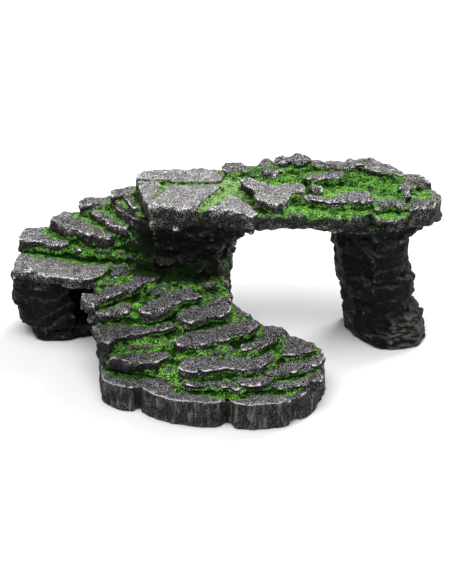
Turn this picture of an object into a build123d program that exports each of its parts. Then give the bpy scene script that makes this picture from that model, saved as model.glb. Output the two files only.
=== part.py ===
from build123d import *
import os

# ---------------------------------------------------------------------------
# Cave ornament: a stepped stone ramp climbs from a low front lobe to a landing
# slab, a fan of stair slabs turns round a central pier to a flat deck, and the
# deck runs into an oval planting platform carried by a free-standing pillar.
# Millimetres, +Z up, origin at the middle of the footprint on the ground.
# ---------------------------------------------------------------------------

LENGTH = 213.0            # overall, left landing to right rim
BASE_H = 13.5             # height of the foot blocks of the ramp
LANDING_Z = 38.0          # top of the landing slab
LANDING_T = 5.0           # thickness of the landing slab
STAIR_RISE = 7.0          # rise from one stair slab to the next
DECK_Z = 75.0             # top of the deck slabs
BASIN_Z = 73.0            # bed of the planting basin
RIM_Z = 80.0              # top of the raised rim stones
PLATFORM_UNDER_Z = 66.0   # underside of the platform over the arch
CAVE_TOP_Z = 30.0         # crown of the cave under the stairs

os.makedirs("parts", exist_ok=True)

UNDER_LANDING = LANDING_Z - LANDING_T
S2_Z = LANDING_Z + STAIR_RISE
S3_Z = S2_Z + STAIR_RISE
S4_Z = S3_Z + STAIR_RISE
S5_Z = S4_Z + STAIR_RISE


def prism(points, z0, z1):
    """Straight-sided block over a closed plan outline, from z0 to z1."""
    with BuildSketch(Plane.XY.offset(z0)) as sk:
        with BuildLine():
            Polyline(*points, close=True)
        make_face()
    return extrude(sk.sketch, amount=z1 - z0)


def whole(shape):
    """The one largest solid of a result."""
    solids = shape.solids()
    if not solids:
        raise ValueError("empty result")
    return max(solids, key=lambda s: s.volume)


# --- Stones: plan outline, underside, top -----------------------------------
stones = {}

# Ramp, top to bottom.
stones["ramp_stone_top"] = prism([(-70.9, -3.9), (-64.1, -3.1), (-60.1, 0.2), (-55.7, 3.7), (-51.0, 9.3), (-44.6, 20.2), (-39.4, 24.5), (-34.8, 24.5), (-32.5, 22.0), (-33.8, 16.1), (-37.1, 10.9), (-41.9, 6.8), (-47.7, 1.0), (-55.0, -6.3), (-60.2, -10.2), (-64.6, -15.2), (-67.4, -13.7), (-70.9, -9.6)], 30.0, 36.0)
stones["ramp_stone_corner"] = prism([(-57.0, 17.5), (-51.9, 25.8), (-48.6, 30.0), (-44.5, 31.5), (-42.3, 30.0), (-44.9, 26.7), (-47.5, 22.6), (-50.8, 17.1), (-53.5, 11.5), (-57.0, 12.6)], 32.0, 37.5)
stones["ramp_stone_2_left"] = prism([(-67.5, -13.5), (-65.0, -8.0), (-60.3, -6.5), (-54.2, -5.0), (-48.5, -3.5), (-46.3, -9.0), (-48.3, -14.2), (-53.7, -16.5), (-59.9, -16.8), (-65.2, -15.4)], 25.5, 31.0)
stones["ramp_stone_2_right"] = prism([(-42.1, -14.2), (-40.5, -8.5), (-34.5, -4.5), (-27.9, 1.5), (-24.0, 9.0), (-19.5, 9.0), (-14.6, 4.0), (-12.8, 0.0), (-15.3, -3.5), (-20.2, -5.4), (-24.2, -9.8), (-28.3, -13.2), (-31.8, -17.1), (-36.8, -20.0), (-41.0, -19.3)], 27.0, 33.0)
stones["ramp_stone_3_left"] = prism([(-65.4, -19.8), (-59.3, -18.5), (-49.1, -18.0), (-42.3, -16.5), (-37.3, -14.0), (-29.5, -12.0), (-23.8, -18.6), (-25.8, -20.9), (-29.8, -24.4), (-35.2, -26.4), (-41.8, -30.1), (-48.5, -31.6), (-53.2, -33.0), (-54.5, -36.2), (-56.0, -38.6), (-61.0, -35.0), (-62.2, -30.0)], 20.5, 26.5)
stones["ramp_stone_3_right"] = prism([(-23.5, -11.5), (-18.2, -6.0), (-12.0, -2.5), (-6.5, 4.0), (-1.5, 7.5), (1.2, 5.5), (2.0, -3.0), (0.8, -11.5), (-1.6, -16.6), (-4.9, -15.6), (-7.8, -16.0), (-11.2, -19.0), (-16.5, -22.8), (-19.2, -22.1), (-22.0, -17.1)], 24.0, 29.5)
stones["ramp_stone_4_right"] = prism([(-24.0, -32.5), (-20.0, -27.5), (-11.1, -21.8), (-4.4, -18.4), (0.5, -15.2), (4.5, -13.5), (9.5, -10.0), (13.7, -9.8), (17.0, -12.7), (14.6, -19.2), (8.9, -26.4), (0.5, -31.7), (-6.2, -34.7), (-12.9, -38.4), (-17.6, -37.5), (-22.5, -37.5)], 19.5, 25.0)
stones["ramp_stone_4_wedge"] = prism([(7.4, -35.4), (13.0, -30.0), (17.2, -26.0), (18.6, -20.0), (22.5, -14.2), (27.0, -16.4), (25.8, -26.5), (21.5, -31.4), (18.4, -35.7), (14.5, -39.9), (10.9, -43.0), (7.9, -39.8)], 18.0, 23.5)
stones["ramp_stone_5_left"] = prism([(-44.8, -47.3), (-38.0, -46.6), (-32.9, -47.1), (-29.4, -43.0), (-26.0, -37.9), (-29.0, -34.6), (-38.0, -37.4), (-46.0, -38.2), (-53.5, -40.4), (-55.0, -42.6)], 14.5, 20.3)
stones["ramp_stone_5_right"] = prism([(27.6, -31.4), (27.9, -26.2), (31.2, -21.6), (35.6, -26.1), (40.3, -29.3), (43.0, -31.4), (42.5, -36.5), (36.0, -41.2), (31.3, -42.9), (27.4, -42.2)], 16.5, 21.8)
stones["ramp_stone_6_left"] = prism([(-22.0, -53.4), (-18.5, -47.0), (-11.1, -43.8), (-0.9, -43.8), (4.3, -43.6), (7.5, -44.8), (10.8, -45.0), (17.6, -40.4), (22.9, -39.0), (24.2, -44.0), (20.0, -49.1), (13.6, -55.6), (7.3, -56.6), (1.2, -54.6), (-3.9, -55.6), (-11.0, -57.5), (-16.2, -58.8), (-20.2, -56.9)], 15.5, 21.0)
stones["ramp_stone_6_right"] = prism([(19.8, -55.8), (22.8, -50.2), (26.5, -46.0), (34.0, -43.6), (41.0, -39.0), (44.2, -34.0), (47.2, -35.4), (47.4, -39.4), (44.6, -45.3), (37.6, -50.9), (31.2, -55.2), (24.5, -56.3)], 13.5, 19.0)
stones["ramp_stone_7_left"] = prism([(-22.0, -60.6), (-19.6, -57.9), (-16.2, -59.0), (-11.0, -57.8), (-3.9, -56.0), (1.4, -55.0), (3.0, -58.5), (5.0, -62.0), (6.9, -67.4), (4.2, -67.6), (2.2, -65.2), (-2.8, -64.2), (-9.4, -62.6), (-16.0, -62.4)], 12.0, 16.3)
stones["ramp_stone_7_middle"] = prism([(3.6, -58.2), (2.6, -55.4), (7.3, -57.0), (13.4, -56.0), (17.4, -54.2), (19.5, -56.4), (21.6, -57.2), (19.6, -61.0), (15.3, -63.4), (10.2, -64.6), (7.0, -64.4), (5.4, -62.2)], 12.8, 17.2)
stones["ramp_stone_7_right"] = prism([(21.8, -58.4), (24.5, -56.8), (31.2, -55.8), (37.8, -51.4), (44.4, -46.6), (46.2, -49.4), (44.4, -56.4), (37.4, -60.0), (31.0, -62.6), (24.4, -64.2), (20.8, -61.6)], 11.5, 15.6)

# Foot blocks round the front of the ramp, split by upright clefts.
stones["foot_block_left"] = prism([(-61.4, -20.5), (-61.6, -33.0), (-60.2, -42.0), (-58.4, -50.0), (-53.6, -54.2), (-48.5, -57.2), (-44.0, -58.4), (-41.2, -56.0), (-40.4, -48.4), (-45.6, -46.4), (-50.0, -38.0), (-50.0, -20.5)], 0.0, 13.0)
stones["foot_block_middle"] = prism([(-41.0, -48.4), (-41.0, -55.8), (-38.6, -60.0), (-33.0, -66.4), (-26.0, -70.2), (-18.1, -72.6), (-9.8, -74.0), (-4.4, -73.8), (0.6, -71.2), (0.6, -52.0), (-20.0, -50.0)], 0.0, BASE_H)
stones["foot_block_front"] = prism([(0.8, -71.2), (4.6, -75.0), (12.0, -76.2), (24.1, -74.6), (29.6, -72.2), (31.6, -68.8), (31.6, -52.0), (0.8, -52.0)], 0.0, BASE_H)
stones["foot_block_right"] = prism([(31.8, -68.8), (34.8, -66.8), (40.2, -60.6), (43.8, -53.2), (46.2, -45.4), (47.6, -38.0), (47.4, -28.0), (44.6, -23.0), (38.0, -23.0), (31.8, -36.0)], 0.0, BASE_H)

# Landing and stair slabs, bottom to top.
stones["landing_slab"] = prism([(-107.6, 24.0), (-107.0, 33.0), (-106.0, 40.0), (-103.0, 49.0), (-95.0, 50.5), (-85.0, 47.5), (-78.0, 42.0), (-68.0, 38.0), (-60.0, 36.0), (-58.0, 31.0), (-59.5, 23.6), (-62.0, 18.6), (-65.0, 12.0), (-68.5, 8.0), (-75.5, 9.2), (-82.2, 11.6), (-90.2, 14.0), (-98.0, 16.8), (-104.5, 18.2), (-107.4, 20.8)], UNDER_LANDING, LANDING_Z)
stones["stair_slab_1"] = prism([(-107.0, 43.8), (-105.2, 56.0), (-100.9, 59.2), (-95.5, 60.8), (-88.0, 62.0), (-79.0, 60.0), (-72.0, 52.0), (-70.0, 44.0), (-80.6, 42.0), (-81.4, 37.3), (-86.7, 36.2), (-90.4, 37.8), (-96.9, 40.3), (-102.4, 41.0)], LANDING_Z, S2_Z)
stones["stair_stone_low"] = prism([(-80.0, 38.0), (-79.2, 41.8), (-72.8, 42.6), (-66.8, 41.6), (-60.8, 41.6), (-53.6, 39.4), (-50.6, 34.4), (-52.8, 29.4), (-64.8, 30.0), (-70.0, 30.8), (-74.9, 32.4), (-78.6, 35.2)], LANDING_Z, 43.5)
stones["stair_slab_2"] = prism([(-91.0, 53.5), (-90.2, 58.0), (-86.8, 61.6), (-83.0, 62.8), (-74.0, 63.2), (-64.0, 58.0), (-58.0, 48.0), (-55.0, 40.0), (-53.6, 34.4), (-59.6, 30.6), (-63.6, 31.0), (-67.4, 34.2), (-70.3, 33.6), (-73.6, 36.3), (-77.5, 40.0), (-81.8, 41.8), (-85.1, 44.8), (-86.9, 48.7)], S2_Z, S3_Z)
stones["stair_slab_3"] = prism([(-76.9, 60.5), (-74.6, 63.8), (-69.5, 65.2), (-61.5, 66.4), (-54.0, 64.0), (-50.0, 57.0), (-56.0, 54.8), (-62.7, 55.4), (-66.0, 55.0), (-69.9, 54.6), (-74.0, 56.0), (-76.3, 56.8)], S3_Z, S4_Z + 0.3)
stones["stair_stone_middle"] = prism([(-70.4, 54.2), (-63.1, 54.5), (-60.2, 53.0), (-58.6, 48.5), (-55.6, 41.9), (-52.6, 36.3), (-50.8, 31.6), (-56.0, 33.4), (-60.4, 36.6), (-62.0, 41.4), (-65.7, 46.0), (-68.6, 50.2)], S3_Z, 56.5)
stones["stair_slab_4"] = prism([(-59.5, 50.0), (-59.2, 58.4), (-57.0, 61.6), (-51.4, 63.4), (-46.2, 64.0), (-45.9, 54.4), (-50.8, 53.6), (-53.2, 51.1), (-56.7, 49.9)], S4_Z + 0.3, S5_Z)
stones["stair_stone_upper"] = prism([(-57.2, 46.2), (-55.3, 42.4), (-50.0, 34.9), (-45.4, 28.6), (-38.6, 21.4), (-36.6, 24.0), (-38.4, 30.0), (-41.2, 36.0), (-43.4, 42.0), (-46.2, 52.6), (-50.4, 52.4), (-53.4, 49.7), (-57.0, 49.4)], 57.0, 62.0)
stones["stair_ridge_upper"] = prism([(-52.6, 50.2), (-50.4, 52.2), (-47.6, 47.0), (-45.2, 40.0), (-43.0, 33.4), (-46.0, 33.0), (-48.6, 39.0), (-50.8, 46.0)], 62.0, 66.3)

# Deck slabs.
stones["deck_slab_rear"] = prism([(-45.6, 52.6), (-45.8, 58.4), (-43.4, 62.2), (-39.3, 64.8), (-29.3, 65.6), (-18.3, 65.4), (-2.8, 66.0), (-2.2, 57.0), (-3.4, 48.8), (-9.3, 47.8), (-20.0, 47.4), (-28.0, 47.4), (-30.0, 50.2), (-35.0, 50.4), (-41.3, 50.8)], DECK_Z - 7.0, DECK_Z)
stones["deck_slab_left"] = prism([(-44.6, 50.0), (-34.2, 49.6), (-32.8, 46.1), (-36.7, 27.5), (-38.1, 20.0), (-40.3, 27.5), (-43.3, 39.1)], DECK_Z - 7.0, 74.4)
stones["deck_slab_front"] = prism([(-31.3, 39.7), (-29.1, 42.6), (-17.8, 42.4), (-4.0, 42.6), (-2.4, 39.7), (-6.8, 31.9), (-11.7, 20.4), (-14.6, 14.6), (-17.4, 12.0), (-20.4, 10.0), (-23.2, 10.4), (-27.4, 12.2), (-31.2, 12.8), (-37.2, 13.0), (-38.0, 15.4), (-35.7, 22.7), (-32.7, 31.9)], DECK_Z - 7.0, DECK_Z) + prism([(-37.2, 13.6), (-31.0, 12.8), (-25.0, 11.4), (-20.0, 14.0), (-18.0, 19.0), (-36.0, 20.0)], 63.0, DECK_Z - 7.0)
stones["deck_slab_point"] = prism([(2.2, 30.8), (-2.6, 21.4), (-8.8, 14.0), (-9.0, 11.4), (-5.4, 10.4), (-0.5, 10.0), (3.9, 8.0), (8.7, 4.6), (12.8, 1.6), (16.0, 8.2), (11.8, 12.4), (7.4, 22.5), (4.8, 28.8)], DECK_Z - 7.0, 74.6)

# Raised stones round the basin and on the platform.
stones["rim_stone_left"] = prism([(-1.9, 60.0), (-1.7, 66.3), (0.5, 69.2), (7.9, 70.0), (12.5, 68.6), (13.9, 63.8), (11.4, 58.1), (6.2, 57.0), (1.8, 57.6)], 70.0, 76.6)
stones["rim_stone_rear_left"] = prism([(15.1, 60.2), (17.2, 66.2), (21.6, 68.6), (24.0, 66.0), (23.6, 58.4), (26.0, 54.6), (28.3, 50.0), (24.8, 46.4), (20.8, 49.8), (17.8, 56.9)], 70.0, 79.3)
stones["rim_peak"] = prism([(23.6, 57.4), (25.4, 62.4), (29.4, 66.8), (36.5, 67.6), (40.6, 65.2), (42.4, 60.6), (40.0, 57.0), (36.4, 56.2), (33.0, 57.6), (29.4, 54.8), (26.4, 55.4)], 70.0, 82.0)
stones["rim_stone_rear"] = prism([(41.2, 66.4), (50.0, 66.2), (60.0, 65.0), (61.8, 64.4), (61.8, 57.6), (52.0, 58.0), (41.8, 58.6)], 70.0, 79.2)
stones["rim_slab_rear_right"] = prism([(62.0, 64.2), (67.2, 63.8), (75.4, 62.2), (82.0, 57.4), (88.2, 50.8), (90.0, 46.4), (90.2, 40.0), (87.8, 40.0), (84.0, 43.2), (76.1, 44.8), (73.9, 48.1), (70.9, 51.5), (65.7, 55.0), (62.0, 56.6)], 70.0, 81.2)
stones["rim_stone_right_rear"] = prism([(88.0, 51.0), (92.4, 48.4), (98.3, 43.6), (101.0, 38.0), (101.8, 31.8), (95.4, 31.6), (91.2, 27.4), (90.2, 19.6), (87.6, 19.0), (86.8, 27.0), (88.8, 35.0), (86.0, 42.0)], 70.0, RIM_Z)
stones["rim_stone_right"] = prism([(90.6, 20.0), (91.4, 27.3), (95.2, 31.6), (101.2, 32.8), (104.4, 29.6), (106.4, 23.6), (105.7, 18.8), (103.8, 15.3), (99.5, 11.4), (94.0, 8.9), (89.6, 6.4), (88.9, 12.0)], 67.0, 76.2)
stones["rim_stone_front_right"] = prism([(73.4, 21.0), (76.9, 26.0), (82.2, 25.4), (87.0, 22.4), (88.6, 17.0), (88.2, 10.6), (86.0, 9.2), (84.4, 12.6), (80.8, 13.6), (77.2, 11.2), (74.2, 8.6), (73.0, 14.6)], 71.0, 76.0)
stones["platform_slab_left"] = prism([(8.4, 40.9), (11.2, 43.4), (16.2, 38.2), (23.6, 35.0), (30.7, 36.1), (35.4, 39.2), (39.4, 36.0), (39.8, 30.3), (37.6, 25.1), (32.6, 22.4), (31.6, 19.8), (30.1, 15.9), (27.6, 10.8), (24.6, 8.4), (22.0, 9.7), (18.7, 12.8), (15.5, 14.9), (14.5, 22.0), (14.2, 28.4), (11.2, 33.5)], 71.0, 78.2)
stones["platform_ledge_long"] = prism([(33.4, 21.8), (34.8, 23.4), (40.2, 23.4), (45.5, 19.5), (50.3, 17.4), (54.6, 22.6), (59.8, 25.7), (65.7, 25.7), (70.3, 22.8), (72.2, 17.9), (71.3, 13.2), (68.0, 11.9), (61.9, 13.0), (56.0, 11.9), (51.0, 10.9), (45.3, 14.2), (38.0, 19.0)], 71.0, 78.0)
stones["platform_ledge_front"] = prism([(28.2, 10.6), (28.4, 7.8), (32.2, 5.0), (37.8, 4.0), (45.9, 4.0), (53.3, 0.2), (59.3, 2.0), (65.2, 4.0), (70.9, 7.0), (74.2, 10.4), (74.2, 15.0), (72.6, 15.2), (71.7, 12.5), (68.0, 11.5), (61.9, 12.6), (56.0, 11.5), (51.0, 10.5), (45.2, 13.7), (37.7, 18.6), (33.2, 20.6), (32.0, 19.4), (30.6, 15.9)], 68.5, 74.2)
stones["basin_stone_rear"] = prism([(38.7, 51.5), (41.7, 55.0), (49.5, 57.2), (56.7, 56.6), (61.6, 55.4), (60.4, 50.0), (56.2, 47.4), (52.1, 47.4), (47.9, 45.3), (41.8, 46.4), (38.6, 48.9)], 71.0, 77.2)
stones["basin_stone_small"] = prism([(41.6, 42.5), (44.2, 45.2), (47.6, 37.0), (48.0, 30.6), (44.0, 33.2)], 71.0, 77.0)

# --- Masses under the stones -------------------------------------------------
masses = {}

# Bed of the ramp: the ground plan of the ramp, raised in terraces behind each
# row of stones.
ramp_plan = [(-61.2, -20.0), (-63.2, -8.0), (-65.0, 2.0), (-66.0, 12.0), (-66.0, 15.0), (-36.0, 15.0), (-25.0, 13.4), (-8.0, 13.4), (-2.6, 14.4), (0.4, 22.0), (1.0, 22.0), (2.6, 12.0), (4.0, 7.0), (8.2, -1.5), (14.6, -9.2), (18.6, -11.1), (26.3, -15.3), (31.1, -20.1), (35.4, -25.7), (39.8, -28.9), (46.0, -30.0), (47.4, -38.0), (46.0, -44.5), (43.6, -53.0), (40.0, -59.5), (31.0, -66.0), (2.0, -69.0), (-26.0, -66.0), (-41.0, -55.0), (-47.0, -54.0), (-57.4, -48.6), (-60.6, -33.0)]
terraces = [
    (12.2, [(-90, -90), (90, -90), (90, 60), (-90, 60)]),
    (14.6, [(-80, -40), (-56, -42), (-45, -46), (-38, -46.5), (-30, -52), (-22, -61), (-9, -62), (2, -65), (8, -66), (11, -63.5), (22, -63.4), (31, -62), (38, -59.6), (45, -54), (80, -50), (80, 60), (-80, 60)]),
    (17.0, [(-80, -38), (-56, -41), (-45, -45.4), (-34, -46), (-26, -50), (-21, -56), (-16, -58), (-4, -55), (7, -56), (13.4, -55), (24, -55.6), (31, -54.6), (37, -50.4), (44, -44.8), (80, -40), (80, 60), (-80, 60)]),
    (20.0, [(-80, -36), (-56, -39), (-44, -43), (-33, -43.4), (-28, -41), (-15, -43), (-5, -40), (6, -41), (11, -42), (16, -38.4), (26, -40), (31, -42), (36, -40.4), (43, -33), (80, -30), (80, 60), (-80, 60)]),
    (22.4, [(-80, -34), (-60, -34), (-52, -36), (-40, -36.2), (-32, -33), (-24, -33), (-18, -36.6), (-6, -34), (0, -31), (8, -26), (14, -19), (18, -26), (25, -24), (32, -20), (80, -20), (80, 60), (-80, 60)]),
    (25.6, [(-80, -30), (-60, -32), (-50, -31), (-42, -29.4), (-35, -25.8), (-25, -20), (-18, -21.6), (-11, -18.4), (-2, -16), (9, -9.4), (17, -8), (80, -6), (80, 60), (-80, 60)]),
    (29.3, [(-80, -14.8), (-65, -14.8), (-54, -16), (-44, -16), (-36, -19.2), (-31, -15.6), (-24, -9.4), (-19, -5), (-14, -3), (-9, 0), (-4, 6), (4, 8), (80, 8), (80, 60), (-80, 60)]),
    (32.6, [(-80, -9), (-70, -9), (-64, -13), (-54, -5.6), (-46, 3), (-38, 7.4), (-34, 1.4), (-29, 4), (-26, 9), (-18, 11), (-8, 11), (-2, 14.2), (80, 14), (80, 60), (-80, 60)]),
    (35.4, [(-66, 16), (-66, 8), (-62, 8.6), (-56, 8), (-50, 12), (-43, 17), (-36, 26), (-34, 30), (-66, 40)]),
]
plan_solid = prism(ramp_plan, 0.0, 60.0)
ramp = None
for top, region in terraces:
    step = prism(region, 0.0, top) & plan_solid
    ramp = step if ramp is None else ramp + step
# Low mossy shelves worked into the bed between the rows of stones.
ramp = ramp + prism([(-46.0, -35.6), (-38.6, -37.0), (-32.0, -34.2), (-26.4, -34.0), (-25.0, -28.6), (-31.0, -25.6), (-38.0, -28.0), (-46.0, -31.8)], 10.0, 23.0)
ramp = ramp + prism([(-13.0, -42.6), (-5.0, -40.4), (4.0, -41.6), (7.0, -41.0), (6.6, -36.4), (0.5, -31.0), (-6.0, -34.0), (-13.0, -37.6)], 10.0, 21.6)
ramp = ramp + prism([(-38.0, 5.0), (-34.0, 11.0), (-30.0, 12.6), (-27.6, 8.4), (-29.8, 2.4), (-33.4, 0.8)], 20.0, 34.2)
# The bed runs back to the foot of the walls.
ramp = ramp + prism([(-60.0, 14.0), (-60.0, 31.6), (-57.0, 29.6), (-50.0, 27.4), (-43.0, 24.6), (-36.0, 20.4), (-36.0, 14.0)], UNDER_LANDING, 35.4)
ramp = ramp + prism([(-60.0, 22.0), (-60.0, 31.6), (-57.0, 29.6), (-50.0, 27.4), (-45.0, 25.4), (-48.0, 21.6), (-54.0, 20.4)], UNDER_LANDING, 38.6)
ramp = ramp + prism([(-36.0, 13.0), (-25.0, 12.0), (-8.0, 12.0), (-2.8, 13.6), (-1.0, 18.0), (-3.8, 18.4), (-8.0, 17.6), (-25.0, 18.2), (-36.0, 20.0)], 31.0, 33.6)
masses["ramp_bed"] = ramp

# Left pier under the landing.
masses["left_pier_foot"] = prism([(-101.0, 29.0), (-100.5, 40.0), (-97.0, 50.0), (-90.0, 54.0), (-78.0, 56.0), (-78.0, 16.5), (-84.0, 15.0), (-92.0, 14.6), (-96.5, 15.6), (-99.6, 21.0)], 0.0, 6.0)
masses["left_pier"] = prism([(-107.4, 28.0), (-106.0, 40.0), (-101.0, 51.0), (-91.0, 57.0), (-78.0, 59.0), (-78.0, 16.0), (-84.0, 14.6), (-92.0, 15.0), (-99.0, 17.6), (-105.0, 21.6)], 6.0, 19.0) + prism([(-108.8, 26.0), (-107.5, 40.0), (-102.5, 52.0), (-92.0, 58.0), (-78.0, 60.0), (-78.0, 15.5), (-86.0, 13.8), (-94.0, 15.6), (-101.0, 18.6), (-107.2, 21.6)], 19.0, UNDER_LANDING)

# Stair base: the wall between the left pier and the central pier, hollowed
# from the back by an arched cave.
CAVE_X0, CAVE_X1, CAVE_Y0 = -73.0, -41.0, 31.0
CAVE_MID = (CAVE_X0 + CAVE_X1) / 2
base = prism([(-78.0, 17.2), (-78.0, 60.0), (-70.0, 61.5), (-50.0, 62.5), (-36.0, 62.5), (-36.0, 15.0), (-66.0, 15.0), (-66.4, 20.4), (-72.0, 19.0)], 0.0, 7.0)
base = base + prism([(-78.0, 22.0), (-78.0, 60.0), (-70.0, 61.5), (-50.0, 62.5), (-36.0, 62.5), (-36.0, 15.0), (-65.0, 15.0), (-66.0, 25.0), (-73.0, 26.0)], 7.0, UNDER_LANDING)
with BuildSketch(Plane.XZ) as cave_section:
    with BuildLine():
        Polyline((CAVE_X0, -1.0), (CAVE_X0 - 0.5, 10.0), (CAVE_X0 + 1.5, 18.0), (CAVE_X0 + 6.0, 24.5), (CAVE_MID - 4.0, CAVE_TOP_Z - 0.8), (CAVE_MID + 2.0, CAVE_TOP_Z), (CAVE_X1 - 7.5, 26.0), (CAVE_X1 - 2.0, 20.0), (CAVE_X1 + 0.5, 11.0), (CAVE_X1, -1.0), close=True)
    make_face()
cave = extrude(cave_section.sketch, amount=-60.0)
cave = cave.moved(Location((0, CAVE_Y0, 0)))
masses["stair_base"] = base - cave

# Central pier, corbelled out to the right as it rises.
masses["central_pier"] = prism([(-36.0, 15.0), (-25.0, 13.4), (-8.0, 13.4), (-2.6, 14.4), (0.4, 24.0), (2.0, 38.0), (2.0, 52.0), (-6.0, 58.0), (-20.0, 61.0), (-36.0, 62.5)], 0.0, 31.0) + prism([(-36.0, 20.0), (-25.0, 18.2), (-8.0, 17.6), (-3.8, 18.4), (-0.2, 25.0), (3.4, 38.0), (4.4, 52.0), (-4.0, 58.6), (-20.0, 61.0), (-36.0, 62.5)], 31.0, 42.0)
masses["central_pier_head"] = prism([(-36.0, 21.0), (-25.0, 18.8), (-8.0, 18.2), (-3.6, 19.0), (2.4, 26.0), (7.0, 38.0), (8.0, 52.0), (0.0, 60.0), (-20.0, 62.0), (-36.0, 62.5)], 42.0, 49.0) + prism([(-36.0, 19.6), (-25.0, 17.8), (-8.0, 17.2), (-1.6, 18.0), (6.0, 25.6), (10.6, 37.0), (12.0, 52.0), (4.0, 62.0), (-20.0, 63.0), (-36.0, 63.0)], 49.0, 56.0) + prism([(-36.0, 18.0), (-25.0, 16.4), (-8.0, 15.6), (1.0, 15.0), (9.0, 19.0), (13.0, 28.0), (14.0, 40.0), (14.0, 56.0), (6.0, 63.4), (-20.0, 64.0), (-36.0, 64.0)], 56.0, 64.0)

# Bed of the stairs, stepped under each slab.
masses["stair_bed"] = (
    prism([(-106.0, 45.0), (-104.0, 56.0), (-98.0, 59.5), (-88.0, 61.5), (-74.0, 62.5), (-60.0, 63.5), (-45.0, 64.0), (-36.0, 64.0), (-36.0, 20.4), (-43.0, 24.6), (-50.0, 27.4), (-57.0, 29.6), (-66.0, 33.0), (-80.0, 35.4), (-92.0, 37.6), (-100.0, 40.6)], UNDER_LANDING, 42.0)
    + prism([(-89.0, 54.0), (-88.0, 60.0), (-82.0, 62.5), (-60.0, 63.5), (-45.0, 64.0), (-36.0, 64.0), (-36.0, 24.6), (-43.0, 30.0), (-50.0, 34.0), (-55.0, 34.6), (-59.6, 32.4), (-64.0, 32.6), (-74.0, 37.6), (-82.0, 43.2), (-87.0, 49.0)], 42.0, 49.6)
    + prism([(-75.5, 58.0), (-74.0, 63.0), (-60.0, 64.5), (-45.0, 64.5), (-36.0, 64.5), (-36.0, 23.6), (-41.0, 28.0), (-46.0, 32.0), (-51.0, 34.6), (-60.0, 38.6), (-66.0, 46.6), (-70.0, 55.0)], 49.6, 56.8)
    + prism([(-58.5, 51.0), (-58.0, 60.0), (-50.0, 62.6), (-36.0, 64.5), (-36.0, 22.0), (-40.0, 25.4), (-46.0, 31.0), (-50.4, 36.8), (-55.0, 43.2)], 56.8, 64.0)
)
masses["deck_bed"] = prism([(-45.0, 48.0), (-45.4, 61.6), (-39.0, 64.6), (-18.0, 65.2), (-2.0, 65.8), (0.5, 68.4), (8.0, 69.2), (14.4, 67.6), (14.4, 4.2), (12.4, 2.6), (8.7, 5.6), (3.9, 9.0), (-5.0, 12.4), (-9.0, 13.0), (-13.0, 14.6), (-17.0, 12.8), (-21.0, 11.2), (-26.6, 12.8), (-36.4, 14.4), (-38.4, 20.4), (-40.8, 30.0), (-43.6, 40.0)], 64.0, 73.6)

# Platform: two layers, the upper one holding the planting basin.
masses["platform_layer_lower"] = prism([(14.4, 5.6), (20.0, 6.2), (27.0, 8.6), (32.0, 6.8), (38.0, 5.8), (46.0, 5.6), (53.0, 2.6), (59.0, 4.0), (65.0, 5.6), (71.0, 7.6), (76.0, 4.8), (84.5, 5.0), (90.0, 9.0), (94.0, 11.6), (99.0, 14.2), (101.6, 18.6), (102.6, 24.0), (101.2, 30.0), (98.6, 38.6), (95.4, 42.6), (90.0, 47.0), (86.6, 49.6), (81.0, 55.8), (75.0, 60.4), (67.0, 62.0), (60.0, 63.4), (50.0, 64.4), (40.0, 65.0), (30.0, 65.6), (22.0, 66.0), (14.4, 65.6)], PLATFORM_UNDER_Z, 69.6)
basin_plan = [(14.4, 4.2), (20.0, 4.6), (27.0, 7.2), (32.0, 5.4), (38.0, 4.4), (46.0, 4.4), (53.0, 0.8), (59.0, 2.4), (65.0, 4.4), (71.0, 6.9), (75.0, 2.6), (84.7, 2.8), (89.2, 7.0), (94.0, 9.7), (99.5, 12.2), (103.8, 16.6), (105.3, 22.2), (103.8, 29.0), (100.8, 33.2), (100.2, 38.0), (97.6, 43.2), (91.0, 47.8), (88.2, 50.4), (82.0, 57.0), (75.4, 61.8), (67.0, 63.4), (60.0, 64.6), (50.0, 65.8), (40.0, 66.2), (36.5, 67.2), (30.0, 67.0), (22.0, 68.0), (14.4, 67.0)]
basin = prism(basin_plan, 69.6, BASIN_Z)
# The bed climbs in low banks towards the rim.
banks = [
    (75.4, [(14.4, 68.0), (14.4, 55.0), (17.0, 49.0), (20.0, 45.0), (25.0, 41.6), (30.0, 45.0), (35.0, 47.6), (40.0, 48.0), (44.0, 54.0), (52.0, 57.0), (60.0, 52.4), (64.0, 49.6), (68.0, 46.0), (70.5, 42.0), (75.0, 39.4), (80.0, 38.4), (82.6, 35.0), (83.2, 28.0), (82.4, 24.0), (88.0, 16.0), (108.0, 16.0), (108.0, 70.0), (14.4, 70.0)]),
    (77.4, [(14.4, 70.0), (14.4, 62.0), (18.4, 54.0), (21.4, 48.0), (25.0, 44.4), (29.4, 48.4), (35.0, 50.6), (40.0, 51.4), (44.0, 57.0), (52.0, 60.6), (61.0, 55.6), (65.2, 53.0), (69.4, 49.6), (72.4, 46.0), (75.6, 42.4), (82.6, 41.0), (85.4, 38.0), (86.6, 33.0), (85.0, 27.0), (86.4, 20.0), (108.0, 20.0), (108.0, 70.0)]),
    (79.4, [(21.6, 70.0), (22.0, 58.0), (24.6, 51.6), (29.2, 51.4), (34.0, 53.6), (39.6, 53.6), (43.4, 57.6), (44.0, 63.0), (44.0, 70.0)]),
]
for top, region in banks:
    basin = basin + (prism(region, 69.6, top) & prism(basin_plan, 69.6, 80.0))
masses["platform_basin"] = basin

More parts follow.
